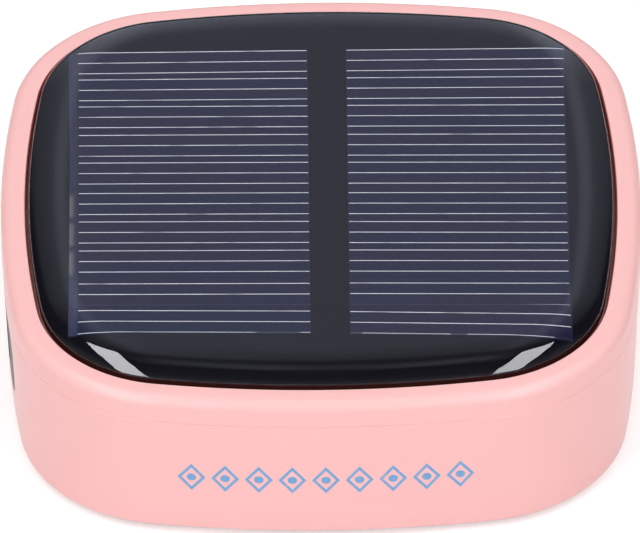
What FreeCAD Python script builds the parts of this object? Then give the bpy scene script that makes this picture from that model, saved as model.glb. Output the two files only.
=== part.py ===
import FreeCAD, Part
import math
import os

# Pocket steriliser with a solar panel for a lid. Lengths are millimetres.
# The origin is on the table under the middle of the base. +Z is up.
# The front wall faces -Y and the wall with the controls faces -X.

# Case
case_width = 75.0
side_bulge_radius = 135.5
corner_radius = 19.0
wall = 2.2
floor_thickness = 2.4
wall_height = 16.3
wall_draft = 0.65
base_chamfer = 0.4
rim_height = 3.4
rim_margin = 3.0
rim_edge_radius = 1.3
parting_chamfer = 0.15
deck_thickness = 1.5
tongue_height = 1.5
tongue_thickness = 1.0
part_clearance = 0.1
overrun = 1.0

# Feet and the screws behind them
foot_diameter = 8.0
foot_proud = 0.8
foot_recess = 0.6
foot_chamfer = 0.3
boss_from_corner_centre = 7.28
boss_diameter = 6.0
pillar_diameter = 6.8
pillar_height = 5.8
case_screw_seat = 4.2
case_screw_length = 9.0
case_screw_diameter = 2.0
case_screw_head = 3.8
case_screw_head_height = 1.5
screw_clearance = 0.05
screw_tip_clearance = 0.6
screw_head_clearance = 0.3
driver_slot_width = 0.6
driver_slot_length_share = 0.65
driver_slot_depth_share = 0.45

# Solar panel
tape_thickness = 0.3
tape_inset = 1.5
backing_thickness = 0.8
cell_thickness = 0.25
panel_gap = 0.25
panel_proud = 0.4
dome_wall = 0.1
dome_rise = 1.65
dome_edge_width = 4.8
dome_edge_steps = 6
pocket_clearance = 0.1
strip_count = 10
strip_gap = 0.05
strip_edge_margin = 0.25
strip_shift_shares = {
    "left": (0.0, 0.04, 0.08, 0.08, 0.11, 0.05, 0.06, 0.06, -0.08, -0.01),
    "right": (0.0, 0.01, 0.03, 0.01, 0.03, -0.03, -0.04, -0.02, -0.16, -0.18),
}
strip_turns = {
    "left": (0.1, -0.2, -0.5, -0.5, -0.6, -0.6, -0.7, -0.6, -0.7, -1.2),
    "right": (-0.1, -0.4, -0.7, -0.8, -0.9, -0.9, -1.1, -1.0, -1.1, -2.0),
}
cell_margin_back = 7.36
cell_margin_front = 8.14
cell_margin_left = 4.85
cell_margin_right = 5.35
column_gap = 4.5
column_gap_shift = 0.9
fingers_per_strip = 3
finger_pitch = 1.93
finger_width = 0.1
finger_thickness = 0.04
finger_end_margins = {"left": (1.1, 0.1), "right": (0.1, 0.2)}

# Control plate on the left wall
plate_length = 34.0
plate_height = 9.0
plate_corner_radius = 3.0
plate_thickness = 1.0
plate_centre_height = 8.2
seat_depth = 3.5
seat_pad_margin = 0.8
button_place = -9.0
button_diameter = 7.0
button_recess = 0.15
button_clearance = 0.2
button_travel = 0.4
button_flange_margin = 0.9
button_flange_thickness = 0.8
button_stem_diameter = 2.0
button_stem_length = 1.0
button_seat_gap = 0.05
pipe_place = 0.0
pipe_diameter = 2.0
pipe_flange_margin = 0.7
pipe_flange_thickness = 0.6
pipe_led_gap = 0.3

# Charging socket
usb_place = 9.0
usb_width = 7.5
usb_height = 2.6
usb_depth = 5.6
usb_sheet = 0.3
usb_corner_chamfer = 0.8
usb_mouth_recess = 1.1
usb_hole_clearance = 0.3
usb_hole_radius = 0.7
usb_block_depth = 1.0
usb_tongue_width = 3.8
usb_tongue_thickness = 0.7
usb_tongue_length = 3.4

# Push switch behind the button
switch_width = 6.0
switch_depth = 3.5
switch_height = 3.4
switch_cover_thickness = 0.3
switch_set_back = 0.85
plunger_hidden_length = 1.1
plunger_clearance = 0.2
plunger_end_gap = 0.3

# Main board
board_thickness = 1.6
board_edge_gap = 3.1
board_tab_reach = 1.7
board_tab_margin = 1.2
board_pillar_gap = 2.1
component_zone = 22.0
board_corner_radius = 1.5
post_diameter = 5.0
post_edge_x_left = 8.0
post_edge_x_right = 3.0
post_edge_y = 3.0
board_screw_diameter = 2.0
board_screw_head = 3.6
board_screw_head_height = 1.3
board_screw_length = 4.6
led_size = 3.0
led_depth = 1.6
led_height = 2.0
led_edge_gap = 0.2

# Parts soldered on the board, placed from its left edge and, across it, by shares of its half width
chip_length = 4.9
chip_width = 3.9
chip_height = 1.4
chip_stand_off = 0.1
chip_leg_pitch = 1.27
chip_leg_width = 0.4
chip_leg_reach = 1.05
chip_leg_thickness = 0.25
chip_legs_per_side = 4
controller_x = 8.4
controller_y_share = -0.42
charger_x = 8.4
charger_y_share = 0.42
inductor_size = 6.0
inductor_height = 3.0
inductor_chamfer = 1.2
inductor_x = 15.2
inductor_y_share = -0.55
capacitor_count = 4
capacitor_size = (2.0, 1.25, 1.25)
capacitor_pitch_share = 0.15
capacitor_x = 15.2
capacitor_first_y_share = 0.24
resistor_count = 6
resistor_size = (1.6, 0.8, 0.45)
resistor_pitch_share = 0.07
resistor_x = 6.4
resistor_first_y_share = -0.15

# Battery and leads
battery_width = 30.0
battery_height = 6.0
battery_edge_radius = 2.0
battery_tape_thickness = 0.5
battery_tape_margin = 3.0
battery_screw_gap = 0.7
lead_diameter = 1.2
lead_bend_radius = 1.8
lead_hole_clearance = 0.3
lead_spread = 3.0
battery_lead_reach = 4.0
solar_lead_x = 16.5
solar_lead_jog = 5.0
solar_lead_drop = 5.0

# Lamp in the floor
window_diameter = 32.0
window_thickness = 1.2
window_ledge = 2.0
window_clearance = 0.3
gasket_thickness = 0.4
gasket_edge_gap = 0.3
reflector_rim = 1.0
reflector_mouth_margin = 0.5
reflector_slope_run = 3.0
lamp_count = 3
lamp_size = 3.5
lamp_height = 1.3
lamp_ring_radius = 7.0

# Levels and places that follow from the sizes above
half_width = case_width / 2
base_z = foot_proud
floor_top = base_z + floor_thickness
parting_z = base_z + wall_height
rim_top = parting_z + rim_height
cell_top = rim_top + panel_proud
cell_bottom = cell_top - cell_thickness
backing_bottom = cell_bottom - backing_thickness
deck_top = backing_bottom - tape_thickness
deck_bottom = deck_top - deck_thickness
pillar_top = floor_top + pillar_height
panel_inset = rim_margin + panel_gap
panel_half = half_width - panel_inset
control_z = base_z + plate_centre_height
board_top = control_z - usb_height / 2
board_bottom = board_top - board_thickness
board_left = board_edge_gap + wall - half_width
board_right = board_left + component_zone + battery_width
seat_x = seat_depth - half_width
stem_start = seat_x + button_seat_gap + button_flange_thickness
stem_end = stem_start + button_stem_length
switch_front = stem_end + switch_set_back + switch_cover_thickness
battery_left = board_right - battery_width
battery_bottom = board_top + battery_tape_thickness
window_top = floor_top
window_bottom = window_top - window_thickness
ledge_top = window_bottom - gasket_thickness
parallel_share = 0.000001
up = FreeCAD.Vector(0, 0, 1)
inwards = FreeCAD.Vector(1, 0, 0)


def corner_centre():
    """Place, equal in X and Y, of the centre of a corner arc that meets both bulged sides smoothly."""
    side_centre = half_width - side_bulge_radius
    reach = side_bulge_radius - corner_radius
    return side_centre / 2 + math.sqrt(reach ** 2 - side_centre ** 2 / 2) / math.sqrt(2)


boss_place = corner_centre() + boss_from_corner_centre
board_half = boss_place - pillar_diameter / 2 - board_pillar_gap
post_y = board_half - post_edge_y
battery_length = 2 * (post_y - board_screw_head / 2 - battery_screw_gap)


def outline_wire(inset, z):
    """Closed outline of four side arcs and four corner arcs, moved inwards by inset."""
    side_centre = FreeCAD.Vector(half_width - side_bulge_radius, 0, z)
    corner = FreeCAD.Vector(corner_centre(), corner_centre(), z)
    towards_corner = (corner - side_centre).normalize()
    join_high = side_centre + towards_corner * (side_bulge_radius - inset)
    join_low = FreeCAD.Vector(join_high.x, -join_high.y, z)
    corner_end = FreeCAD.Vector(join_high.y, join_high.x, z)
    diagonal = FreeCAD.Vector(1, 1, 0).normalize()
    side_middle = FreeCAD.Vector(half_width - inset, 0, z)
    corner_middle = corner + diagonal * (corner_radius - inset)
    side = Part.Arc(join_low, side_middle, join_high).toShape()
    bend = Part.Arc(join_high, corner_middle, corner_end).toShape()
    edges = []
    for quarter in range(4):
        for edge in (side, bend):
            turned = edge.copy()
            turned.rotate(FreeCAD.Vector(0, 0, 0), up, quarter * 90)
            edges.append(turned)
    return Part.Wire(edges)


def prism(inset, z_low, z_high):
    """Upright solid on the inset outline."""
    return Part.Face(outline_wire(inset, z_low)).extrude(up * (z_high - z_low))


def stacked(sections):
    """Solid with straight flanks through (inset, z) sections of the outline."""
    wires = [outline_wire(inset, z) for inset, z in sections]
    return Part.makeLoft(wires, True, True)


def draft_at(z):
    """How far the drafted wall stands in from the full width at height z."""
    return wall_draft * (parting_z - z) / wall_height


def wall_form(inset):
    """Drafted form of the wall, moved inwards by inset, from the base to the parting line."""
    return stacked([(inset + draft_at(base_z), base_z), (inset, parting_z)])


def upright(diameter, z_low, z_high, x, y):
    """Cylinder along Z."""
    return Part.makeCylinder(diameter / 2, z_high - z_low, FreeCAD.Vector(x, y, z_low), up)


def across(diameter, x_low, x_high, y, z):
    """Cylinder along X."""
    return Part.makeCylinder(diameter / 2, x_high - x_low, FreeCAD.Vector(x_low, y, z), inwards)


def block(size_x, size_y, size_z, x, y, bottom):
    """Box with its middle at x and y, standing on the height bottom."""
    corner = FreeCAD.Vector(x - size_x / 2, y - size_y / 2, bottom)
    return Part.makeBox(size_x, size_y, size_z, corner)


def edges_along(shape, direction):
    """Straight edges of a shape that run along a direction."""
    found = []
    for edge in shape.Edges:
        heading = edge.tangentAt(edge.FirstParameter)
        if heading.cross(direction).Length < parallel_share:
            found.append(edge)
    return found


def wall_bar(length, height, radius, place):
    """Rounded bar along X through the left wall, at the height of the controls."""
    bar = block(half_width, length, height, -half_width, place, control_z - height / 2)
    return bar.makeFillet(radius, edges_along(bar, inwards))


def boss_places():
    """Places of the four screw bosses and feet."""
    return [(x * boss_place, y * boss_place) for x in (-1, 1) for y in (-1, 1)]


def post_places():
    """Places of the four board posts."""
    left = board_left + post_edge_x_left
    right = board_right - post_edge_x_right
    return [(x, y * post_y) for x in (left, right) for y in (-1, 1)]


def screw(diameter, length, head, head_height):
    """Pan-head screw with a cross slot, head down at the origin and shank up."""
    shank = upright(diameter, 0, length, 0, 0)
    cap = upright(head, -head_height, 0, 0, 0)
    solid = shank.fuse(cap)
    slot_length = head * driver_slot_length_share
    slot_depth = head_height * driver_slot_depth_share
    for size_x, size_y in ((slot_length, driver_slot_width), (driver_slot_width, slot_length)):
        solid = solid.cut(block(size_x, size_y, slot_depth, 0, 0, -head_height))
    return solid


def upper_case():
    """Rim with a rounded top edge, a deck under the panel, a tongue and four bosses."""
    body = prism(0, parting_z, rim_top)
    top_edges = [edge for edge in body.Edges if edge.BoundBox.ZMin > rim_top - parting_chamfer]
    body = body.makeFillet(rim_edge_radius, top_edges)
    low_edges = [edge for edge in body.Edges if edge.BoundBox.ZMax < parting_z + parting_chamfer]
    body = body.makeChamfer(parting_chamfer, low_edges)
    body = body.cut(prism(rim_margin, deck_top, rim_top + overrun))
    body = body.cut(prism(wall, parting_z - overrun, deck_bottom))
    tongue = prism(wall - tongue_thickness, parting_z - tongue_height, deck_top)
    body = body.fuse(tongue.cut(prism(wall, parting_z - tongue_height - overrun, deck_bottom)))
    for x, y in boss_places():
        body = body.fuse(upright(boss_diameter, pillar_top, deck_top, x, y))
        pilot_top = base_z + case_screw_seat + case_screw_length + screw_tip_clearance
        pilot = case_screw_diameter + 2 * screw_clearance
        body = body.cut(upright(pilot, pillar_top - overrun, pilot_top, x, y))
    for x, y in solar_lead_places():
        body = body.cut(upright(lead_hole(), deck_bottom - overrun, deck_top + overrun, x, y))
    return body.removeSplitter()


def lead_hole():
    """Diameter of the holes that the panel leads drop through."""
    return lead_diameter + 2 * lead_hole_clearance


def lower_case_shell():
    """Drafted wall and floor with a chamfered base edge and a step for the tongue."""
    body = stacked([
        (draft_at(base_z) + base_chamfer, base_z),
        (draft_at(base_z + base_chamfer), base_z + base_chamfer),
        (draft_at(parting_z - parting_chamfer), parting_z - parting_chamfer),
        (parting_chamfer, parting_z),
    ])
    hollow = stacked([
        (wall + draft_at(floor_top), floor_top),
        (wall + draft_at(parting_z + overrun), parting_z + overrun),
    ])
    step_floor = parting_z - tongue_height - part_clearance
    step = prism(wall - tongue_thickness - part_clearance, step_floor, parting_z + overrun)
    return body.cut(hollow).cut(step)


def seat_pad(diameter, place):
    """Flat-faced pad inside the left wall that a flange rests on."""
    pad = across(diameter, -half_width, seat_x, place, control_z)
    return pad.common(wall_form((wall + plate_thickness) / 2))


def button_flange():
    """Diameter of the ring that keeps the button from falling out."""
    return button_diameter + 2 * button_flange_margin


def pipe_flange():
    """Diameter of the ring on the light pipe."""
    return pipe_diameter + 2 * pipe_flange_margin


def control_holes():
    """Openings for the button, the light pipe and the charging socket."""
    button_hole = across(button_diameter + 2 * button_clearance, -half_width, seat_x, button_place, control_z)
    pipe_hole = across(pipe_diameter + 2 * part_clearance, -half_width, seat_x, pipe_place, control_z)
    gap = 2 * usb_hole_clearance
    usb_hole = wall_bar(usb_width + gap, usb_height + gap, usb_hole_radius, usb_place)
    return [button_hole, pipe_hole, usb_hole]


def lower_case():
    """Wall, floor, screw pillars, board posts, lamp opening and the pocket for the control plate."""
    body = lower_case_shell()
    body = body.fuse(seat_pad(button_flange() + 2 * seat_pad_margin, button_place))
    body = body.fuse(seat_pad(pipe_flange() + 2 * seat_pad_margin, pipe_place))
    for x, y in boss_places():
        body = body.fuse(upright(pillar_diameter, floor_top - foot_recess, pillar_top, x, y))
        seat = base_z + case_screw_seat
        body = body.cut(upright(foot_diameter + 2 * part_clearance, 0, base_z + foot_recess, x, y))
        body = body.cut(upright(case_screw_head + 2 * screw_head_clearance, 0, seat, x, y))
        body = body.cut(upright(case_screw_diameter + 2 * part_clearance, 0, pillar_top + overrun, x, y))
    for x, y in post_places():
        body = body.fuse(upright(post_diameter, floor_top - foot_recess, board_bottom, x, y))
        hole_bottom = board_top - board_screw_length - screw_tip_clearance
        bore = board_screw_diameter + 2 * screw_clearance
        body = body.cut(upright(bore, hole_bottom, board_bottom + overrun, x, y))
    body = body.cut(upright(window_diameter + 2 * window_clearance, ledge_top, floor_top + overrun, 0, 0))
    body = body.cut(upright(window_diameter - 2 * window_ledge, 0, floor_top, 0, 0))
    gap = 2 * part_clearance
    pocket = wall_bar(plate_length + gap, plate_height + gap, plate_corner_radius, 0)
    body = body.cut(pocket.cut(wall_form(plate_thickness + part_clearance)))
    for hole in control_holes():
        body = body.cut(hole)
    return body.removeSplitter()


def side_plate():
    """Dark plate, curved and drafted like the wall that it lies flush in."""
    skin = wall_form(0).cut(wall_form(plate_thickness))
    plate = skin.common(wall_bar(plate_length, plate_height, plate_corner_radius, 0))
    for hole in control_holes():
        plate = plate.cut(hole)
    return plate


def power_button():
    """Round cap cut to the wall's curve, with a flange behind the wall and a stem."""
    cap = across(button_diameter, -half_width, stem_start, button_place, control_z)
    cap = cap.common(wall_form(button_recess))
    flange = across(button_flange(), seat_x + button_seat_gap, stem_start, button_place, control_z)
    stem = across(button_stem_diameter, stem_start, stem_end, button_place, control_z)
    return cap.fuse(flange).fuse(stem).removeSplitter()


def indicator_light_pipe():
    """Clear rod through the wall with a flange, ending just before the indicator."""
    rod_end = board_left + led_edge_gap - pipe_led_gap
    rod = across(pipe_diameter, -half_width, rod_end, pipe_place, control_z).common(wall_form(button_recess))
    flange_end = seat_x + pipe_flange_thickness
    flange = across(pipe_flange(), seat_x, flange_end, pipe_place, control_z)
    return rod.fuse(flange).removeSplitter()


def indicator_led():
    """Side-shining indicator on the board's edge."""
    x = board_left + led_edge_gap + led_depth / 2
    return block(led_depth, led_size, led_height, x, pipe_place, board_top)


def switch_x():
    """Middle of the switch body along X."""
    return switch_front + switch_depth / 2


def plunger_bore():
    """Diameter of the bore that the plunger slides in."""
    return button_stem_diameter + 2 * plunger_clearance


def switch_body():
    """Plastic body with a blind bore for the plunger."""
    body = block(switch_depth, switch_width, switch_height, switch_x(), button_place, board_top)
    bore_end = switch_front + plunger_hidden_length + button_travel + plunger_end_gap
    return body.cut(across(plunger_bore(), switch_front - overrun, bore_end, button_place, control_z))


def switch_cover():
    """Steel sheet on the front of the switch."""
    x = switch_front - switch_cover_thickness / 2
    sheet = block(switch_cover_thickness, switch_width, switch_height, x, button_place, board_top)
    return sheet.cut(across(plunger_bore(), x - overrun, x + overrun, button_place, control_z))


def switch_plunger():
    """Pin that the button's stem pushes into the switch."""
    hidden_end = switch_front + plunger_hidden_length
    return across(button_stem_diameter, stem_end, hidden_end, button_place, control_z)


def usb_bar(shrink, x_low, x_high):
    """Bar with the socket's outline: flat on top, with both lower corners cut off."""
    width = usb_width - 2 * shrink
    height = usb_height - 2 * shrink
    bar = block(x_high - x_low, width, height, (x_low + x_high) / 2, usb_place, board_top + shrink)
    low_edges = [edge for edge in edges_along(bar, inwards) if edge.BoundBox.ZMax < control_z]
    return bar.makeChamfer(usb_corner_chamfer, low_edges)


def usb_mouth():
    """Place of the socket's open end along X."""
    return usb_mouth_recess - half_width


def usb_socket_shell():
    """Folded steel tube, open towards the wall and at the back."""
    mouth = usb_mouth()
    tube = usb_bar(0, mouth, mouth + usb_depth)
    return tube.cut(usb_bar(usb_sheet, mouth - overrun, mouth + usb_depth + overrun))


def usb_socket_tongue():
    """Plastic block that closes the back of the tube, with the contact tongue in front of it."""
    back = usb_mouth() + usb_depth
    front = back - usb_block_depth
    closing = usb_bar(usb_sheet, front, back)
    x = front - usb_tongue_length / 2
    bottom = control_z - usb_tongue_thickness / 2
    tongue = block(usb_tongue_length, usb_tongue_width, usb_tongue_thickness, x, usb_place, bottom)
    return closing.fuse(tongue).removeSplitter()


def main_board():
    """Circuit board with round corners, a tab under the socket and four screw holes."""
    length = board_right - board_left
    middle = (board_left + board_right) / 2
    board = block(length, 2 * board_half, board_thickness, middle, 0, board_bottom)
    board = board.makeFillet(board_corner_radius, edges_along(board, up))
    tab_width = usb_width + 2 * board_tab_margin
    tab = block(2 * board_tab_reach, tab_width, board_thickness, board_left, usb_place, board_bottom)
    board = board.fuse(tab)
    for x, y in post_places():
        hole = board_screw_diameter + 2 * part_clearance
        board = board.cut(upright(hole, board_bottom - overrun, board_top + overrun, x, y))
    return board.removeSplitter()


def board_screws():
    """Four screws that hold the board on its posts, head up."""
    solids = []
    for x, y in post_places():
        one = screw(board_screw_diameter, board_screw_length, board_screw_head, board_screw_head_height)
        one.rotate(FreeCAD.Vector(0, 0, 0), inwards, 180)
        one.translate(FreeCAD.Vector(x, y, board_top))
        solids.append(one)
    return Part.makeCompound(solids)


def case_screws():
    """Four screws that hold the two case halves together, head down."""
    solids = []
    for x, y in boss_places():
        one = screw(case_screw_diameter, case_screw_length, case_screw_head, case_screw_head_height)
        one.translate(FreeCAD.Vector(x, y, base_z + case_screw_seat))
        solids.append(one)
    return Part.makeCompound(solids)


def rubber_feet():
    """Four round feet let into the base over the screws."""
    feet = []
    for x, y in boss_places():
        foot = upright(foot_diameter, 0, foot_proud + foot_recess, x, y)
        low_edges = [edge for edge in foot.Edges if edge.BoundBox.ZMax < foot_recess]
        feet.append(foot.makeChamfer(foot_chamfer, low_edges))
    return Part.makeCompound(feet)


def chip(x, y):
    """Small chip with a row of legs along each side, standing on the board."""
    bottom = board_top + chip_stand_off
    solid = block(chip_width, chip_length, chip_height, x, y, bottom)
    leg_height = chip_stand_off + chip_height / 2
    for number in range(chip_legs_per_side):
        leg_y = y + (number - (chip_legs_per_side - 1) / 2) * chip_leg_pitch
        for side in (-1, 1):
            arm_x = x + side * (chip_width + chip_leg_reach) / 2
            foot_x = x + side * (chip_width / 2 + chip_leg_reach - chip_leg_thickness / 2)
            arm_bottom = board_top + leg_height - chip_leg_thickness
            arm = block(chip_leg_reach, chip_leg_width, chip_leg_thickness, arm_x, leg_y, arm_bottom)
            leg = block(chip_leg_thickness, chip_leg_width, leg_height, foot_x, leg_y, board_top)
            solid = solid.fuse(arm).fuse(leg)
    return solid.removeSplitter()


def controller_chip():
    """Chip that times the lamps and reads the button."""
    return chip(board_left + controller_x, board_half * controller_y_share)


def charger_chip():
    """Chip that charges the battery from the socket or the panel."""
    return chip(board_left + charger_x, board_half * charger_y_share)


def boost_inductor():
    """Square coil housing with cut corners."""
    x = board_left + inductor_x
    y = board_half * inductor_y_share
    body = block(inductor_size, inductor_size, inductor_height, x, y, board_top)
    return body.makeChamfer(inductor_chamfer, edges_along(body, up))


def row_of_blocks(size, count, x, first_share, pitch_share):
    """Row of equal blocks across the board, along Y."""
    size_x, size_y, size_z = size
    places = [board_half * (first_share + number * pitch_share) for number in range(count)]
    return Part.makeCompound([block(size_x, size_y, size_z, board_left + x, y, board_top) for y in places])


def board_capacitors():
    """Row of capacitors beside the battery."""
    places = (capacitor_first_y_share, capacitor_pitch_share)
    return row_of_blocks(capacitor_size, capacitor_count, capacitor_x, *places)


def board_resistors():
    """Row of resistors behind the indicator."""
    places = (resistor_first_y_share, resistor_pitch_share)
    return row_of_blocks(resistor_size, resistor_count, resistor_x, *places)


def battery_middle():
    """Middle of the battery along X."""
    return battery_left + battery_width / 2


def battery_cell():
    """Flat pouch cell with round long edges."""
    cell = block(battery_width, battery_length, battery_height, battery_middle(), 0, battery_bottom)
    return cell.makeFillet(battery_edge_radius, edges_along(cell, FreeCAD.Vector(0, 1, 0)))


def battery_tape():
    """Foam tape that holds the cell on the board."""
    width = battery_width - 2 * battery_tape_margin
    length = battery_length - 2 * battery_tape_margin
    return block(width, length, battery_tape_thickness, battery_middle(), 0, board_top)


def lead(points):
    """Round wire along a route of straight runs with a tangent arc at each corner."""
    edges = []
    start = points[0]
    for before, corner, after in zip(points, points[1:], points[2:]):
        back = (before - corner).normalize()
        onwards = (after - corner).normalize()
        tangent_length = lead_bend_radius / math.tan(back.getAngle(onwards) / 2)
        arc_start = corner + back * tangent_length
        arc_end = corner + onwards * tangent_length
        towards_centre = (back + onwards).normalize()
        centre_distance = math.hypot(lead_bend_radius, tangent_length)
        arc_middle = corner + towards_centre * (centre_distance - lead_bend_radius)
        edges.append(Part.LineSegment(start, arc_start).toShape())
        edges.append(Part.Arc(arc_start, arc_middle, arc_end).toShape())
        start = arc_end
    edges.append(Part.LineSegment(start, points[-1]).toShape())
    route = Part.Wire(edges)
    first_run = (points[1] - points[0]).normalize()
    section = Part.Wire(Part.makeCircle(lead_diameter / 2, points[0], first_run))
    wire = route.makePipeShell([section], True, False)
    expected = math.pi * lead_diameter ** 2 / 4 * route.Length
    print("lead volume over section times length", round(wire.Volume / expected, 4))
    return wire


def solar_lead_places():
    """Places where the two panel leads leave the backing board."""
    return [(board_left + solar_lead_x, side * lead_spread) for side in (-1, 1)]


def solar_lead(side):
    """Wire from the panel's underside, through the deck and down to the board."""
    x = board_left + solar_lead_x
    y = side * lead_spread
    level = backing_bottom - solar_lead_drop
    points = [
        FreeCAD.Vector(x, y, backing_bottom),
        FreeCAD.Vector(x, y, level),
        FreeCAD.Vector(x - solar_lead_jog, y, level),
        FreeCAD.Vector(x - solar_lead_jog, y, board_top),
    ]
    return lead(points)


def battery_lead(side):
    """Wire from the end of the cell down to the board."""
    y = side * lead_spread
    level = battery_bottom + battery_height / 2
    points = [
        FreeCAD.Vector(battery_left, y, level),
        FreeCAD.Vector(battery_left - battery_lead_reach, y, level),
        FreeCAD.Vector(battery_left - battery_lead_reach, y, board_top),
    ]
    return lead(points)


def panel_tape():
    """Adhesive sheet between the deck and the backing board, with holes for the leads."""
    sheet = prism(rim_margin + tape_inset, deck_top, backing_bottom)
    for x, y in solar_lead_places():
        sheet = sheet.cut(upright(lead_hole(), deck_top - overrun, backing_bottom + overrun, x, y))
    return sheet


def solar_backing_board():
    """Thin board that carries the cells."""
    return prism(panel_inset, backing_bottom, cell_bottom)


def column_span(name):
    """Left and right end of a column of cells."""
    if name == "left":
        return cell_margin_left - panel_half, column_gap_shift - column_gap / 2
    return column_gap_shift + column_gap / 2, panel_half - cell_margin_right


def strip_pitch():
    """Distance from one strip to the next along Y."""
    return (2 * panel_half - cell_margin_back - cell_margin_front) / strip_count


def moved(edge, distance):
    """Edge given by its Y at the left and right end of a column, moved along Y."""
    return [y + distance for y in edge]


def strip_rows(name):
    """Middles of the strips in a column, from the back, each a little off and turned as if laid by hand."""
    low, high = column_span(name)
    pitch = strip_pitch()
    first = panel_half - cell_margin_back - pitch / 2
    rows = []
    for number, share in enumerate(strip_shift_shares[name]):
        place = first - (number - share) * pitch
        lean = (high - low) / 2 * math.tan(math.radians(strip_turns[name][number]))
        rows.append([place - lean, place + lean])
    return rows


def strip_edges(name):
    """Back edge of the first strip, the seams between strips and the front edge of the last strip."""
    rows = strip_rows(name)
    reach = (fingers_per_strip - 1) / 2 * finger_pitch + strip_edge_margin
    seams = [[(a + b) / 2 for a, b in zip(back, front)] for back, front in zip(rows, rows[1:])]
    return [moved(rows[0], reach)] + seams + [moved(rows[-1], -reach)]


def leaning_bar(low, high, back, front, z, thickness):
    """Flat bar from low to high in X whose back and front edges may lean."""
    places = [(low, back[0]), (high, back[1]), (high, front[1]), (low, front[0])]
    points = [FreeCAD.Vector(x, y, z) for x, y in places]
    return Part.Face(Part.makePolygon(points + points[:1])).extrude(up * thickness)


def solar_cells():
    """Two columns of narrow cell strips, edge to edge."""
    strips = []
    for name in finger_end_margins:
        low, high = column_span(name)
        edges = strip_edges(name)
        for back, front in zip(edges, edges[1:]):
            back_line = moved(back, -strip_gap / 2)
            front_line = moved(front, strip_gap / 2)
            strips.append(leaning_bar(low, high, back_line, front_line, cell_bottom, cell_thickness))
    return Part.makeCompound(strips)


def cell_grid_lines():
    """Fine metal lines printed along every strip."""
    lines = []
    for name, (margin_low, margin_high) in finger_end_margins.items():
        low, high = column_span(name)
        start = low + margin_low
        stop = high - margin_high
        for row in strip_rows(name):
            slope = (row[1] - row[0]) / (high - low)
            ends = [row[0] + margin_low * slope, row[1] - margin_high * slope]
            for number in range(fingers_per_strip):
                line = moved(ends, (number - (fingers_per_strip - 1) / 2) * finger_pitch)
                back = moved(line, finger_width / 2)
                front = moved(line, -finger_width / 2)
                lines.append(leaning_bar(start, stop, back, front, cell_top, finger_thickness))
    return Part.makeCompound(lines)


def solar_dome():
    """Clear poured coat with a rounded edge, hollowed underneath for the two columns of cells."""
    sections = [(panel_inset, cell_bottom)]
    for step in range(dome_edge_steps + 1):
        angle = math.pi / 2 * step / dome_edge_steps
        inset = panel_inset + dome_edge_width * (1 - math.cos(angle))
        sections.append((inset, cell_bottom + dome_wall + dome_rise * math.sin(angle)))
    dome = stacked(sections)
    height = cell_thickness + finger_thickness + pocket_clearance
    for name in finger_end_margins:
        low, high = column_span(name)
        start = low - pocket_clearance
        stop = high + pocket_clearance
        edges = strip_edges(name)
        back = moved(edges[0], pocket_clearance)
        front = moved(edges[-1], -pocket_clearance)
        dome = dome.cut(leaning_bar(start, stop, back, front, cell_bottom, height))
    return dome


def lamp_window():
    """Clear round window in the floor."""
    return upright(window_diameter, window_bottom, window_top, 0, 0)


def window_gasket():
    """Flat seal between the window and its ledge."""
    outer = upright(window_diameter - 2 * gasket_edge_gap, ledge_top, window_bottom, 0, 0)
    opening = window_diameter - 2 * window_ledge + 2 * gasket_edge_gap
    return outer.cut(upright(opening, ledge_top - overrun, window_bottom + overrun, 0, 0))


def lamp_reflector():
    """Ring between the window and the board with a sloped bright inside."""
    outer = upright(window_diameter + 2 * reflector_rim, window_top, board_bottom, 0, 0)
    mouth = window_diameter / 2 - window_ledge + reflector_mouth_margin
    throat = mouth - reflector_slope_run
    funnel = Part.makeCone(mouth, throat, board_bottom - window_top, FreeCAD.Vector(0, 0, window_top), up)
    return outer.cut(funnel)


def lamps(start_angle):
    """Ring of lamps under the board, inside the reflector."""
    solids = []
    for number in range(lamp_count):
        angle = start_angle + 2 * math.pi * number / lamp_count
        x = lamp_ring_radius * math.cos(angle)
        y = lamp_ring_radius * math.sin(angle)
        solids.append(block(lamp_size, lamp_size, lamp_height, x, y, board_bottom - lamp_height))
    return Part.makeCompound(solids)


nodes = {
    "upper_case": upper_case(),
    "lower_case": lower_case(),
    "side_plate": side_plate(),
    "case_screws": case_screws(),
    "rubber_feet": rubber_feet(),
    "solar_dome": solar_dome(),
    "solar_cells": solar_cells(),
    "cell_grid_lines": cell_grid_lines(),
    "solar_backing_board": solar_backing_board(),
    "panel_tape": panel_tape(),
    "solar_lead_red": solar_lead(-1),
    "solar_lead_black": solar_lead(1),
    "power_button": power_button(),
    "switch_plunger": switch_plunger(),
    "switch_body": switch_body(),
    "switch_cover": switch_cover(),
    "indicator_light_pipe": indicator_light_pipe(),
    "indicator_led": indicator_led(),
    "usb_socket_shell": usb_socket_shell(),
    "usb_socket_tongue": usb_socket_tongue(),
    "main_board": main_board(),
    "board_screws": board_screws(),
    "controller_chip": controller_chip(),
    "charger_chip": charger_chip(),
    "boost_inductor": boost_inductor(),
    "board_capacitors": board_capacitors(),
    "board_resistors": board_resistors(),
    "battery_cell": battery_cell(),
    "battery_tape": battery_tape(),
    "battery_lead_red": battery_lead(-1),
    "battery_lead_black": battery_lead(1),
    "uvc_leds": lamps(0),
    "uva_leds": lamps(math.pi / lamp_count),
    "lamp_reflector": lamp_reflector(),
    "lamp_window": lamp_window(),
    "window_gasket": window_gasket(),
}
os.makedirs("parts", exist_ok=True)
for name, shape in nodes.items():
    print(name, "solids", len(shape.Solids), "volume", round(shape.Volume, 2), "valid", shape.isValid())
    shape.exportStep(os.path.join("parts", name + ".step"))
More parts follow.
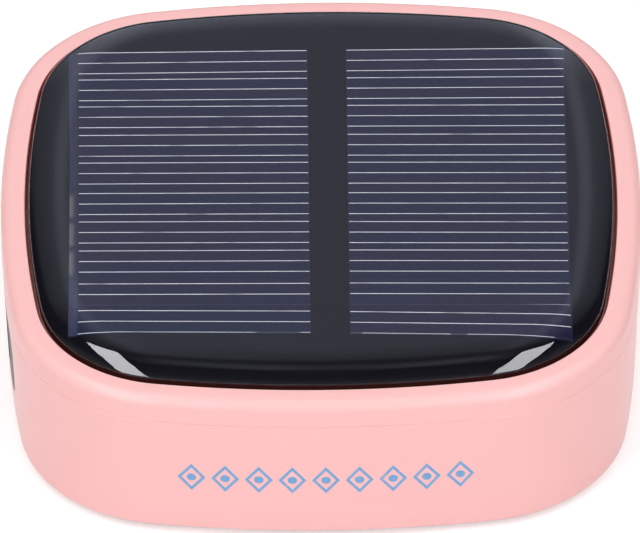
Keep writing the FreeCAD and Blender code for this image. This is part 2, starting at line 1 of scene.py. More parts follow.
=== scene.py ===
# %% [markdown]
# # A solar topped steriliser, dressed for its portrait
# The object is a square pocket case in pink plastic with a solar panel for a lid.
# The engineering model already fixes every size, so this lesson loads it first and never moves it.
# New pieces are built around it in the same frame, in metres, and each one says which body it rides on.

# %% Load the frame
import math

import bmesh
import bpy
from mathutils import Matrix, Vector


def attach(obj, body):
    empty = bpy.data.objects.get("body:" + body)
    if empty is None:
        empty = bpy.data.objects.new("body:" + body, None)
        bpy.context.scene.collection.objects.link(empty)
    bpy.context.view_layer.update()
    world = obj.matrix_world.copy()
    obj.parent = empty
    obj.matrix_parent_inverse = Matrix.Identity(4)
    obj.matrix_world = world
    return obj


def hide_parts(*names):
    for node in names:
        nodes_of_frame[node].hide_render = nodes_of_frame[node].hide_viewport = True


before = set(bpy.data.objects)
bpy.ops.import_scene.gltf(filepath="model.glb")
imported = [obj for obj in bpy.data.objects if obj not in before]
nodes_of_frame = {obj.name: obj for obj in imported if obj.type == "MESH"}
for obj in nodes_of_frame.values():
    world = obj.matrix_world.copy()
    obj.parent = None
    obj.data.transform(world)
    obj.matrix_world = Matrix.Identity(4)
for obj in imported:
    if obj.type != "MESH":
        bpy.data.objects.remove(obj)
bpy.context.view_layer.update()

mm = 0.001

# %% [markdown]
# ## The outline that everything follows
# Seen from above the case is a square whose sides bulge a little and whose corners are round.
# It could be drawn point by point, but it is really only two arcs: a long flat one and a short tight one.
# So a section is drawn once, as a few vertices, and spun about three centres to make an eighth, a corner
# and another eighth. Three turned copies close the ring.

# %% Outline sizes
half_width = 37.5 * mm
side_radius = 135.5 * mm
corner_radius = 19.0 * mm
side_centre = half_width - side_radius
arc_reach = side_radius - corner_radius
corner_centre = side_centre / 2 + math.sqrt((arc_reach ** 2 - side_centre ** 2 / 2) / 2)
side_angle = math.atan2(corner_centre, corner_centre - side_centre)
corner_angle = math.pi / 2 - 2 * side_angle
print("corner centre", round(corner_centre / mm, 3), "mm, side arc", round(math.degrees(side_angle), 2), "deg")


# %% Sweep a section round the outline
def sweep_outline(section, side_steps=14, corner_steps=28):
    """Spin (inset, height) points in millimetres round the outline, fill both middles and return the bmesh."""
    bm = bmesh.new()
    ring = [bm.verts.new((half_width - inset * mm, 0.0, height * mm)) for inset, height in section]
    last = ring + [bm.edges.new(pair) for pair in zip(ring, ring[1:])]
    arcs = (
        ((side_centre, 0, 0), side_angle, side_steps),
        ((corner_centre, corner_centre, 0), corner_angle, corner_steps),
        ((0, side_centre, 0), side_angle, side_steps),
    )
    for centre, angle, steps in arcs:
        turned = bmesh.ops.spin(bm, geom=last, cent=centre, axis=(0, 0, 1), angle=angle, steps=steps)
        last = turned["geom_last"]
    quarter = bm.verts[:] + bm.edges[:] + bm.faces[:]
    for turn in (1, 2, 3):
        copied = bmesh.ops.duplicate(bm, geom=quarter)["geom"]
        corners = [part for part in copied if isinstance(part, bmesh.types.BMVert)]
        turning = Matrix.Rotation(turn * math.pi / 2, 3, "Z")
        bmesh.ops.rotate(bm, verts=corners, cent=(0, 0, 0), matrix=turning)
    bmesh.ops.remove_doubles(bm, verts=bm.verts, dist=0.002 * mm)
    open_edges = [edge for edge in bm.edges if edge.is_boundary]
    bmesh.ops.holes_fill(bm, edges=open_edges, sides=0)
    bmesh.ops.recalc_face_normals(bm, faces=bm.faces)
    return bm


# %% Turn a profile on a lathe
def lathe(outline, x=0.0, y=0.0, steps=64, bm=None):
    """Spin (radius, height) points in millimetres a full turn about an upright line through x and y."""
    bm = bm or bmesh.new()
    points = [bm.verts.new(((x + radius) * mm, y * mm, height * mm)) for radius, height in outline]
    edges = [bm.edges.new(pair) for pair in zip(points, points[1:])]
    bmesh.ops.spin(bm, geom=points + edges, cent=(x * mm, y * mm, 0), axis=(0, 0, 1),
                   angle=2 * math.pi, steps=steps, use_merge=True)
    bmesh.ops.remove_doubles(bm, verts=bm.verts, dist=0.002 * mm)
    bmesh.ops.recalc_face_normals(bm, faces=bm.faces)
    return bm


def rod(radius, start, end):
    """Profile of a plain round bar for the lathe."""
    return [(0.0, start), (radius, start), (radius, end), (0.0, end)]


# %% Round an edge in a section
def quarter_round(centre, radii, start, end, steps):
    """Points of an arc in a section, from the start angle to the end angle in degrees."""
    points = []
    for step in range(steps + 1):
        angle = math.radians(start + (end - start) * step / steps)
        points.append((centre[0] + radii[0] * math.cos(angle), centre[1] + radii[1] * math.sin(angle)))
    return points


print("helpers ready: sweep_outline, lathe, rod, quarter_round")

# %% [markdown]
# ## From bmesh to a finished piece
# A bmesh is only a workbench. A piece becomes part of the model when it is an object that rides on a body
# and, where it takes the place of a CAD node, hides that node.
# Smooth shading with sharp edges above an angle keeps round corners round and cut edges crisp.


# %% Put a piece into the scene
def into_scene(bm, name):
    """Turn a bmesh into an object of the scene and clear the workbench."""
    mesh = bpy.data.meshes.new(name)
    bm.to_mesh(mesh)
    bm.free()
    made = bpy.data.objects.new(name, mesh)
    bpy.context.scene.collection.objects.link(made)
    return made


def place_piece(bm, name, body="case", replaces=(), sharp_angle=32.0):
    """Make an object of a bmesh, shade it, tie it to its body, and hide the CAD nodes it replaces."""
    piece = into_scene(bm, name)
    shade(piece, sharp_angle)
    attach(piece, body)
    if replaces:
        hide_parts(*replaces)
    print(name, "has", len(piece.data.polygons), "faces")
    return piece


def shade(piece, sharp_angle):
    """Shade smooth, with hard edges where faces meet at more than the angle in degrees."""
    piece.data.shade_smooth()
    piece.data.set_sharp_from_angle(angle=math.radians(sharp_angle))


# %% Cut, join or keep the overlap
def carve(piece, tool_bm, operation, sharp_angle=32.0):
    """Apply one exact Boolean with a tool made on the workbench, then throw the tool away."""
    tool = into_scene(tool_bm, "carving_tool")
    tool_mesh = tool.data
    cut = piece.modifiers.new("carve", "BOOLEAN")
    cut.operation = operation
    cut.solver = "EXACT"
    cut.use_self = True
    cut.object = tool
    shaped = bpy.data.meshes.new_from_object(piece.evaluated_get(bpy.context.evaluated_depsgraph_get()))
    piece.modifiers.clear()
    old = piece.data
    piece.data = shaped
    bpy.data.meshes.remove(old)
    shaped.name = piece.name
    bpy.data.objects.remove(tool)
    bpy.data.meshes.remove(tool_mesh)
    shade(piece, sharp_angle)
    print(piece.name, operation.lower(), "leaves", len(shaped.polygons), "faces")
    return piece


# %% [markdown]
# ## The rim
# The upper half of the case is a moulded frame round the panel: a rounded outer edge, a narrow flat land,
# a step down to the deck that the panel is glued to, and a tongue that drops inside the lower half.
# All of that is one section, so one sweep makes it. The screw bosses under the deck are turned and joined on.

# %% Rim heights
parting = 17.1
rim_top = 20.5
deck_top = 19.55
deck_underside = 18.05
tongue_end = 15.6
rim_round = 1.3
inner_round = 0.38
lip = 0.09
middle_inset = 18.0
recess_inset = 3.0
tongue_inner, tongue_outer = 2.2, 1.2

rim_section = [
    (middle_inset, deck_underside), (tongue_inner, deck_underside), (tongue_inner, tongue_end),
    (tongue_outer, tongue_end), (tongue_outer, parting), (lip, parting), (0.0, parting + lip),
]
rim_section += quarter_round((rim_round, rim_top - rim_round), (-rim_round, rim_round), 0, 90, 10)
rim_section += quarter_round((recess_inset - inner_round, rim_top - inner_round), (inner_round, inner_round),
                             90, 0, 8)
rim_section += [(recess_inset, deck_top), (middle_inset, deck_top)]

# %% Sweep the rim and join its bosses
rim_shell = place_piece(sweep_outline(rim_section), "rim_shell", replaces=("upper_case",))
boss_place = corner_centre / mm + 7.28
boss_places = [(x * boss_place, y * boss_place) for x in (-1, 1) for y in (-1, 1)]
boss_end = 9.0
boss_root = deck_underside + 0.4
boss_radius = 3.0
boss_bore = 1.05
chamfer = 0.2
bosses = bmesh.new()
for x, y in boss_places:
    lathe([(boss_bore, boss_end), (boss_radius - chamfer, boss_end), (boss_radius, boss_end + chamfer),
           (boss_radius, boss_root), (boss_bore, boss_root), (boss_bore, boss_end)], x, y, 32, bosses)
carve(rim_shell, bosses, "UNION")
lead_x, lead_y, lead_bore = -15.7, 3.0, 0.9
drop_end = 17.0
lead_drops = bmesh.new()
for y in (-lead_y, lead_y):
    lathe(rod(lead_bore, drop_end, rim_top), lead_x, y, 24, lead_drops)
carve(rim_shell, lead_drops, "DIFFERENCE")

# %% [markdown]
# ## The lower case
# The wall leans in a little towards the base so that it leaves its mould, and the base edge is softened.
# Wall and floor come from one sweep. Everything that is let into them is then cut the way a toolmaker would:
# a shallow curved pocket for the control plate, three holes through it, four foot sockets and the lamp opening.

# %% Lower case section
base = 0.8
floor_top = 3.2
wall = 2.2
base_round = 0.4
base_draft = 0.65
groove_inset, groove_end = 1.1, 15.5


def draft(height):
    """How far the leaning wall stands in at a height, in millimetres."""
    return base_draft * (parting - height) / (parting - base)


body_section = [(middle_inset, base)]
body_section += quarter_round((draft(base) + base_round, base + base_round), (-base_round, -base_round),
                              90, 0, 5)
body_section += [
    (draft(parting - lip), parting - lip), (lip, parting), (groove_inset, parting), (groove_inset, groove_end),
    (wall + draft(groove_end), groove_end), (wall + draft(floor_top), floor_top), (middle_inset, floor_top),
]
body_shell = place_piece(sweep_outline(body_section), "body_shell", replaces=("lower_case",))


# %% Bars, pins and a curved core for cutting
control_level = 9.0
bar_outer, bar_inner = -40.0, -30.0


def cross_bar(length, height, radius, place):
    """Rounded bar along X through the left wall, made from a cube with four edges bevelled."""
    bm = bmesh.new()
    size = ((bar_inner - bar_outer) * mm, length * mm, height * mm)
    middle = ((bar_outer + bar_inner) / 2 * mm, place * mm, control_level * mm)
    bmesh.ops.create_cube(bm, size=1.0, matrix=Matrix.Translation(middle) @ Matrix.Diagonal((*size, 1.0)))
    long_edges = [edge for edge in bm.edges if abs(edge.verts[0].co.x - edge.verts[1].co.x) > mm]
    bmesh.ops.bevel(bm, geom=long_edges, offset=radius * mm, affect="EDGES", segments=10, profile=0.5,
                    material=-1)
    return bm


def cross_pin(outline, place, steps=64, bm=None):
    """Lathe work laid along X: (radius, x) points turned about a line at control level."""
    bm = bm or bmesh.new()
    before = set(bm.verts)
    lathe(outline, steps=steps, bm=bm)
    laid = Matrix.Translation((0, place * mm, control_level * mm)) @ Matrix.Rotation(math.pi / 2, 4, "Y")
    bmesh.ops.transform(bm, matrix=laid, verts=[vert for vert in bm.verts if vert not in before])
    bmesh.ops.recalc_face_normals(bm, faces=bm.faces)
    return bm


def wall_core(inset):
    """Solid with the leaning wall's form, moved inwards by the inset."""
    return sweep_outline([(middle_inset, base), (inset + draft(base), base), (inset, parting),
                          (middle_inset, parting)], 24, 28)


# %% Pads, pillars and posts inside
button_y, pipe_y, socket_y = -9.0, 0.0, 9.0
pad_outer, pad_inner = -35.4, -34.0
pads = bmesh.new()
for radius, place in ((5.2, button_y), (2.5, pipe_y)):
    cross_pin(rod(radius, pad_outer, pad_inner) + [(0.0, pad_outer)], place, bm=pads)
carve(body_shell, pads, "UNION")
post_y = 16.0
post_places = [(x, y * post_y) for x in (-24.2, 16.8) for y in (-1, 1)]
pillar_root = 2.6
pillar_radius = 3.4
post_radius, post_top = 2.5, 6.1
pillars = bmesh.new()
for x, y in boss_places:
    lathe([(0.0, pillar_root), (pillar_radius, pillar_root), (pillar_radius, boss_end - chamfer),
           (pillar_radius - chamfer, boss_end), (0.0, boss_end)], x, y, 40, pillars)
for x, y in post_places:
    lathe(rod(post_radius, pillar_root, post_top), x, y, 40, pillars)
carve(body_shell, pillars, "UNION")

# %% Foot sockets, screw holes and the lamp opening
foot_socket, foot_top = 4.1, 1.4
head_bore, head_seat = 2.2, 5.0
shank_bore, shank_end = 1.1, 10.0
post_bore, post_hole_end, post_hole_top = 1.05, 3.5, 7.0
opening, opening_flare, opening_top = 14.0, 0.3, 1.1
window_bore, window_seat, window_top = 16.3, 1.6, 4.0
bores = bmesh.new()
for x, y in boss_places:
    lathe([(0.0, 0.0), (foot_socket, 0.0), (foot_socket, foot_top), (head_bore, foot_top),
           (head_bore, head_seat), (shank_bore, head_seat), (shank_bore, shank_end), (0.0, shank_end)],
          x, y, 56, bores)
for x, y in post_places:
    lathe(rod(post_bore, post_hole_end, post_hole_top), x, y, 24, bores)
lathe([(0.0, 0.0), (opening + opening_flare, 0.0), (opening + opening_flare, base), (opening, opening_top),
       (opening, window_seat), (window_bore, window_seat), (window_bore, window_top), (0.0, window_top)],
      0, 0, 128, bores)
carve(body_shell, bores, "DIFFERENCE")

# %% Plate pocket and control holes
plate_length, plate_height, plate_corner = 34.0, 9.0, 3.0
pocket_slack, pocket_depth = 0.2, 1.1
socket_hole = (8.1, 3.2, 0.7)
hole_outer, hole_inner = -40.0, -33.0
pocket_bar = cross_bar(plate_length + pocket_slack, plate_height + pocket_slack, plate_corner, 0.0)
pocket_tool = place_piece(pocket_bar, "pocket_tool")
carve(pocket_tool, wall_core(pocket_depth), "DIFFERENCE")
pocket = bmesh.new()
pocket.from_mesh(pocket_tool.data)
bpy.data.objects.remove(pocket_tool)
carve(body_shell, pocket, "DIFFERENCE")


def control_holes():
    """The round holes for button and light pipe, as one tool."""
    holes = bmesh.new()
    for radius, place, steps in ((3.7, button_y, 72), (1.1, pipe_y, 40)):
        cross_pin(rod(radius, hole_outer, hole_inner), place, steps, holes)
    return holes


carve(body_shell, control_holes(), "DIFFERENCE")
carve(body_shell, cross_bar(*socket_hole, socket_y), "DIFFERENCE")

# %% [markdown]
# ## The clear dome
# The panel is a thin black board with cells on it, drowned in poured resin that stands proud with a round edge.
# Its edge is a quarter of an ellipse, wide and low, so it bends the rim and the lamps into thin bright lines.
# The mesh reaches a hair into the board, so that there is no film of air between resin and cells.

# %% Sweep the dome
board_top = 20.65
panel_inset = 3.25
dome_wall = 0.1
dome_rise = 1.65
dome_edge = 4.8
dome_foot = board_top + dome_wall
dome_section = [(middle_inset, board_top - 0.05), (panel_inset, board_top - 0.05)]
dome_section += quarter_round((panel_inset + dome_edge, dome_foot), (-dome_edge, dome_rise), 0, 90, 30)
dome_section += [(middle_inset, dome_foot + dome_rise)]
dome_glass = place_piece(sweep_outline(dome_section, 24, 56), "dome_glass",
                         replaces=("solar_dome",), sharp_angle=50.0)

# %% [markdown]
# ## Controls in the left wall
# A dark plate lies flush in the pocket and follows the wall's bulge. A bar-shaped blank is kept only where it
# meets a thin skin of the wall, which gives the curve for nothing. The same trick trims the button's face.
# Live Bevel modifiers break the edges, because a moulded edge always catches a little light.


# %% Soften edges
def soften(piece, width, segments=2):
    """Add a Bevel modifier that rounds edges sharper than 40 degrees."""
    edge_break = piece.modifiers.new("edge_break", "BEVEL")
    edge_break.width = width * mm
    edge_break.segments = segments
    edge_break.limit_method = "ANGLE"
    edge_break.angle_limit = math.radians(40)
    edge_break.harden_normals = True
    return piece


# %% Control plate
control_plate = place_piece(cross_bar(plate_length, plate_height, plate_corner, 0.0), "control_plate",
                            replaces=("side_plate",))
plate_thick = 1.0
plate_skin = sweep_outline([(plate_thick + draft(base), base), (draft(base), base), (0.0, parting),
                            (plate_thick, parting), (plate_thick + draft(base), base)], 24, 28)
carve(control_plate, plate_skin, "INTERSECT")
carve(control_plate, control_holes(), "DIFFERENCE")
carve(control_plate, cross_bar(*socket_hole, socket_y), "DIFFERENCE")
soften(control_plate, 0.12)

# %% Power button
seat = pad_inner + 0.05
flange_end, stem_end = seat + 0.8, seat + 1.8
cap_radius, flange_radius, stem_radius = 3.5, 4.4, 1.0
blank_face = -39.0
button_cap = place_piece(
    cross_pin([(0.0, blank_face), (cap_radius, blank_face), (cap_radius, seat), (flange_radius, seat),
               (flange_radius, flange_end), (stem_radius, flange_end), (stem_radius, stem_end),
               (0.0, stem_end)], button_y, steps=72),
    "button_cap", body="button", replaces=("power_button",))
face_inset = 0.15
carve(button_cap, wall_core(face_inset), "INTERSECT")
face_x, dish_radius, dish_depth = -36.75, 22.0, 0.22
dish_middle = Vector((face_x - dish_radius + dish_depth, button_y, control_level)) * mm
dish = bmesh.new()
bmesh.ops.create_uvsphere(dish, u_segments=96, v_segments=64, radius=dish_radius * mm,
                          matrix=Matrix.Translation(dish_middle))
carve(button_cap, dish, "DIFFERENCE")
soften(button_cap, 0.18, 3)


# %% [markdown]
# ## Small metal and plastic parts
# Some CAD nodes already have the right shape and only look too sharp. A merged copy of the node's own mesh,
# with flat triangles dissolved back into faces, takes a Bevel modifier well and stays exactly in place.

# %% Merged copies with softened edges
def merged_copy(node, name, width):
    """Copy a node's mesh, merge its loose triangles, and round its edges."""
    bm = bmesh.new()
    bm.from_mesh(nodes_of_frame[node].data)
    bmesh.ops.remove_doubles(bm, verts=bm.verts, dist=0.001 * mm)
    bmesh.ops.dissolve_limit(bm, angle_limit=math.radians(0.5), verts=bm.verts, edges=bm.edges)
    return soften(place_piece(bm, name, replaces=(node,)), width)


socket_shell = merged_copy("usb_socket_shell", "socket_shell", 0.08)
socket_tongue = merged_copy("usb_socket_tongue", "socket_tongue", 0.06)
lamp_blocks_c = merged_copy("uvc_leds", "lamp_blocks_c", 0.12)
lamp_blocks_a = merged_copy("uva_leds", "lamp_blocks_a", 0.12)

# %% Socket contacts
contact_pitch = 0.65
contact_x, contact_level = -33.6, 8.63
contact_size = Vector((2.6, 0.34, 0.06)) * mm
contacts = bmesh.new()
for number in range(5):
    place = Vector((contact_x, socket_y + (number - 2) * contact_pitch, contact_level)) * mm
    bmesh.ops.create_cube(contacts, size=1.0,
                          matrix=Matrix.Translation(place) @ Matrix.Diagonal((*contact_size, 1.0)))
socket_contacts = place_piece(contacts, "socket_contacts")

# %% Lamp lenses
lens_circle = 7.0
lens_radius, lens_drop = 1.25, 0.7
lens_root, lens_foot = 4.85, 4.8
lens_profile = [(0.0, lens_root), (lens_radius, lens_root)]
lens_profile += quarter_round((0.0, lens_foot), (lens_radius, -lens_drop), 0, 90, 8)
lenses = bmesh.new()
for number in range(6):
    angle = math.radians(60 * number)
    lathe(lens_profile, lens_circle * math.cos(angle), lens_circle * math.sin(angle), 32, lenses)
lamp_lenses = place_piece(lenses, "lamp_lenses")

# %% [markdown]
# ## Feet
# Four rubber buttons stop the case from sliding. Each is turned from one profile: a flat tread with a moulded
# ring groove, a rounded edge, and a plain top that is glued into its socket.

# %% Turn the feet
foot_radius, foot_round = 4.0, 0.35
groove_in, groove_out, groove_deep = 2.0, 2.8, 0.15
foot_profile = [(0.0, 0.0), (groove_in, 0.0), (groove_in + groove_deep, groove_deep),
                (groove_out - groove_deep, groove_deep), (groove_out, 0.0)]
foot_profile += quarter_round((foot_radius - foot_round, foot_round), (foot_round, -foot_round), 90, 0, 6)
foot_profile += [(foot_radius, foot_top), (0.0, foot_top)]
feet = bmesh.new()
for x, y in boss_places:
    lathe(foot_profile, x, y, 56, feet)
foot_pads = place_piece(feet, "foot_pads", replaces=("rubber_feet",), sharp_angle=40.0)

# %% [markdown]
# ## Shared surface effects
# Real plastic is never one colour: it clouds a little as it sets, its gloss wanders, and its skin has a fine
# grain from the mould. That is the same recipe for most parts here, so it is one node group with its own
# colours and sizes in each material. Two smaller groups give dust specks and hairline scuffs.


# %% Node helpers
def new_group(name, inputs, outputs):
    """Start a shader node group with named sockets."""
    made = bpy.data.node_groups.new(name, "ShaderNodeTree")
    for label, kind, value in inputs:
        made.interface.new_socket(label, in_out="INPUT", socket_type="NodeSocket" + kind).default_value = value
    for label, kind in outputs:
        made.interface.new_socket(label, in_out="OUTPUT", socket_type="NodeSocket" + kind)
    return made, made.nodes.new("NodeGroupInput"), made.nodes.new("NodeGroupOutput")


def feed(tree, socket, value):
    """Link an output to an input socket, or set a plain number on it."""
    if isinstance(value, bpy.types.NodeSocket):
        tree.links.new(value, socket)
    else:
        socket.default_value = value


def reckon(tree, operation, first, second=0.0, third=0.0):
    """Math node with links or numbers on its inputs."""
    node = tree.nodes.new("ShaderNodeMath")
    node.operation = operation
    for socket, value in zip(node.inputs, (first, second, third)):
        feed(tree, socket, value)
    return node.outputs[0]


def ease(tree, value, low, high, start=0.0, end=1.0):
    """Smooth step of a value from start at low to end at high."""
    node = tree.nodes.new("ShaderNodeMapRange")
    node.interpolation_type = "SMOOTHSTEP"
    for socket, amount in zip(node.inputs, (value, low, high, start, end)):
        feed(tree, socket, amount)
    return node.outputs[0]


def blend_colours(tree, factor, first, second):
    """Mix two colours."""
    node = tree.nodes.new("ShaderNodeMix")
    node.data_type = "RGBA"
    feed(tree, node.inputs["Factor"], factor)
    feed(tree, node.inputs[6], first)
    feed(tree, node.inputs[7], second)
    return node.outputs[2]


def noise(tree, vector, scale, detail=2.0, roughness=0.5):
    """Noise value at points given by a vector."""
    node = tree.nodes.new("ShaderNodeTexNoise")
    feed(tree, node.inputs["Vector"], vector)
    feed(tree, node.inputs["Scale"], scale)
    node.inputs["Detail"].default_value = detail
    node.inputs["Roughness"].default_value = roughness
    return node.outputs["Fac"]


def object_points(tree, scale=None, shift=None):
    """Object coordinates, moved and stretched where asked."""
    points = tree.nodes.new("ShaderNodeTexCoord").outputs["Object"]
    if scale is None and shift is None:
        return points
    mapping = tree.nodes.new("ShaderNodeMapping")
    mapping.inputs["Scale"].default_value = scale or (1, 1, 1)
    mapping.inputs["Location"].default_value = shift or (0, 0, 0)
    tree.links.new(points, mapping.inputs["Vector"])
    return mapping.outputs["Vector"]


def axes(tree, points):
    """The x, y and z of points."""
    node = tree.nodes.new("ShaderNodeSeparateXYZ")
    feed(tree, node.inputs[0], points)
    return node.outputs[:]


in_mm = (1000, 1000, 1000)


# %% Moulded skin
moulded_skin, enter, leave = new_group(
    "moulded_skin",
    [("Colour", "Color", (0.8, 0.8, 0.8, 1)), ("Cloud colour", "Color", (0.7, 0.7, 0.7, 1)),
     ("Cloud scale", "Float", 60.0), ("Grain scale", "Float", 4000.0),
     ("Gloss", "Float", 0.4), ("Gloss spread", "Float", 0.1)],
    [("Colour", "Color"), ("Roughness", "Float"), ("Grain", "Float")])
points = object_points(moulded_skin)
clouds = noise(moulded_skin, points, enter.outputs["Cloud scale"], 3.0)
cloud_mask = ease(moulded_skin, clouds, 0.3, 0.7)
skin_colour = blend_colours(moulded_skin, cloud_mask, enter.outputs["Colour"], enter.outputs["Cloud colour"])
grain = noise(moulded_skin, points, enter.outputs["Grain scale"], 3.0, 0.6)
wander = reckon(moulded_skin, "SUBTRACT", noise(moulded_skin, points, 240.0, 4.0), 0.5)
gloss = reckon(moulded_skin, "MULTIPLY_ADD", wander, enter.outputs["Gloss spread"], enter.outputs["Gloss"])
for label, value in (("Colour", skin_colour), ("Roughness", gloss), ("Grain", grain)):
    feed(moulded_skin, leave.inputs[label], value)
print("group", moulded_skin.name, "with", len(moulded_skin.nodes), "nodes")

# %% Dust specks
dust_specks, enter, leave = new_group(
    "dust_specks", [("Spacing scale", "Float", 300.0), ("Share", "Float", 0.08), ("Size", "Float", 0.06)],
    [("Specks", "Float")])
cells = dust_specks.nodes.new("ShaderNodeTexVoronoi")
feed(dust_specks, cells.inputs["Vector"], object_points(dust_specks))
feed(dust_specks, cells.inputs["Scale"], enter.outputs["Spacing scale"])
drawn = dust_specks.nodes.new("ShaderNodeSeparateColor")
feed(dust_specks, drawn.inputs["Color"], cells.outputs["Color"])
chosen = reckon(dust_specks, "LESS_THAN", drawn.outputs["Red"], enter.outputs["Share"])
round_spot = reckon(dust_specks, "LESS_THAN", cells.outputs["Distance"],
                    reckon(dust_specks, "MULTIPLY", drawn.outputs["Green"], enter.outputs["Size"]))
feed(dust_specks, leave.inputs["Specks"], reckon(dust_specks, "MULTIPLY", chosen, round_spot))
print("group", dust_specks.name, "with", len(dust_specks.nodes), "nodes")

# %% Hairline scuffs
hair_scuffs, enter, leave = new_group(
    "hair_scuffs", [("Scale", "Float", 60.0), ("Width", "Float", 0.006)], [("Scuffs", "Float")])
line_sets = []
for stretch in ((1.0, 0.16, 1.0), (0.2, 1.0, 1.0)):
    wavy = noise(hair_scuffs, object_points(hair_scuffs, stretch), enter.outputs["Scale"], 1.0)
    from_middle = reckon(hair_scuffs, "ABSOLUTE", reckon(hair_scuffs, "SUBTRACT", wavy, 0.5))
    line_sets.append(reckon(hair_scuffs, "LESS_THAN", from_middle, enter.outputs["Width"]))
patches = ease(hair_scuffs, noise(hair_scuffs, object_points(hair_scuffs), 45.0), 0.55, 0.7)
both = reckon(hair_scuffs, "MAXIMUM", *line_sets)
feed(hair_scuffs, leave.inputs["Scuffs"], reckon(hair_scuffs, "MULTIPLY", both, patches))
print("group", hair_scuffs.name, "with", len(hair_scuffs.nodes), "nodes")

# %% [markdown]
# ## A workbench for finishes
# Every finish starts the same way: a Principled shader, a copy of the moulded skin group with this material's
# own colours, and a Bump node for the grain. Values that do not change over the surface sit on the shader
# itself. What is special to a part is added afterwards.


# %% Start a finish
def start_finish(name, colour, cloud, gloss, spread=0.08, cloud_scale=60.0, grain_scale=4000.0, bump=0.1,
                 depth=0.01, metallic=0.0, specular=0.5):
    """Material with a moulded skin; returns it with its tree, shader, skin group and bump node."""
    made = bpy.data.materials.new(name)
    made.use_nodes = True
    tree = made.node_tree
    shader = tree.nodes["Principled BSDF"]
    shader.inputs["Metallic"].default_value = metallic
    shader.inputs["Specular IOR Level"].default_value = specular
    skin = tree.nodes.new("ShaderNodeGroup")
    skin.node_tree = moulded_skin
    for label, value in (("Colour", (*colour, 1)), ("Cloud colour", (*cloud, 1)), ("Cloud scale", cloud_scale),
                         ("Grain scale", grain_scale), ("Gloss", gloss), ("Gloss spread", spread)):
        skin.inputs[label].default_value = value
    bumps = tree.nodes.new("ShaderNodeBump")
    bumps.inputs["Strength"].default_value = bump
    bumps.inputs["Distance"].default_value = depth * mm
    tree.links.new(skin.outputs["Colour"], shader.inputs["Base Color"])
    tree.links.new(skin.outputs["Roughness"], shader.inputs["Roughness"])
    tree.links.new(skin.outputs["Grain"], bumps.inputs["Height"])
    tree.links.new(bumps.outputs["Normal"], shader.inputs["Normal"])
    return made, tree, shader, skin, bumps


def add_group(tree, source, **values):
    """Place a shared group with its own values."""
    node = tree.nodes.new("ShaderNodeGroup")
    node.node_tree = source
    for label, value in values.items():
        node.inputs[label.replace("_", " ")].default_value = value
    return node


def wear(piece, made):
    """Give a piece or a CAD node its finish."""
    if not piece.material_slots:
        piece.data.materials.append(made)
    for place in piece.material_slots:
        place.material = made


print("workbench ready")

# %% [markdown]
# ## Salmon pink plastic
# The case is glossy moulded plastic, a warm salmon pink. The front wall carries a row of nine open diamonds in
# pale blue ink, each with a dot. It could be a thin mesh, but ink has no thickness worth modelling, so it is a
# mask reckoned from the place on the wall. Where the rim's inner edge dips into the gap it gets painted shade,
# a dark red.

# %% Pink plastic with a printed row
pink = (0.965, 0.550, 0.543)
pink_cloud = (0.962, 0.544, 0.538)
salmon_gloss, tree, shader, skin, bumps = start_finish(
    "salmon_gloss", pink, pink_cloud, 0.30, 0.04, 70.0, 2600.0, 0.01, 0.002, specular=0.11)
mark_pitch, mark_count, mark_middle, mark_level = 3.9, 9, 0.2, 8.85
mark_half_width, mark_half_height, mark_dot = 1.62, 2.05, 0.55
x, y, z = axes(tree, object_points(tree, in_mm, (-mark_middle, 0, -mark_level)))
step_x = reckon(tree, "WRAP", x, mark_pitch / 2, -mark_pitch / 2)
wide = reckon(tree, "DIVIDE", reckon(tree, "ABSOLUTE", step_x), mark_half_width)
tall = reckon(tree, "DIVIDE", reckon(tree, "ABSOLUTE", z), mark_half_height)
from_edge = reckon(tree, "ABSOLUTE", reckon(tree, "SUBTRACT", reckon(tree, "ADD", wide, tall), 0.86))
diamond = ease(tree, from_edge, 0.11, 0.17, 1.0, 0.0)
spread_out = reckon(tree, "SQRT", reckon(tree, "ADD", reckon(tree, "POWER", step_x, 2.0),
                                         reckon(tree, "POWER", z, 2.0)))
dot = ease(tree, spread_out, mark_dot - 0.04, mark_dot + 0.04, 1.0, 0.0)
in_row = reckon(tree, "LESS_THAN", reckon(tree, "ABSOLUTE", x), mark_pitch * mark_count / 2)
on_front = reckon(tree, "LESS_THAN", y, -30.0)
ink = reckon(tree, "MULTIPLY", reckon(tree, "MAXIMUM", diamond, dot),
             reckon(tree, "MULTIPLY", in_row, on_front))
patchy = ease(tree, noise(tree, object_points(tree), 1800.0, 3.0), 0.25, 0.5, 0.82, 1.0)
ink = reckon(tree, "MULTIPLY", ink, patchy)
specks = add_group(tree, dust_specks, Spacing_scale=260.0, Share=0.015, Size=0.05)
dusty = blend_colours(tree, reckon(tree, "MULTIPLY", specks.outputs[0], 0.15), skin.outputs["Colour"],
                      (0.55, 0.32, 0.3, 1))
printed = blend_colours(tree, ink, dusty, (0.18, 0.40, 0.70, 1))
facing_in = tree.nodes.new("ShaderNodeVectorMath")
facing_in.operation = "DOT_PRODUCT"
feed(tree, facing_in.inputs[0], tree.nodes.new("ShaderNodeTexCoord").outputs["Normal"])
feed(tree, facing_in.inputs[1], object_points(tree, in_mm))
# Painted shade: inward-facing faces of the rim above its foot, its inner wall and fillet by the gap, are
# darkened to deep red.
rim_foot = 17.85
on_rim = reckon(tree, "GREATER_THAN", z, rim_foot - mark_level)
painted_gap_shade = reckon(tree, "MULTIPLY", on_rim, ease(tree, facing_in.outputs["Value"], 8.0, -5.0))
feed(tree, shader.inputs["Base Color"], blend_colours(tree, painted_gap_shade, printed, (0.26, 0.05, 0.045, 1)))
for piece in (rim_shell, body_shell):
    wear(piece, salmon_gloss)
print("finish", salmon_gloss.name, "with", len(tree.nodes), "nodes")

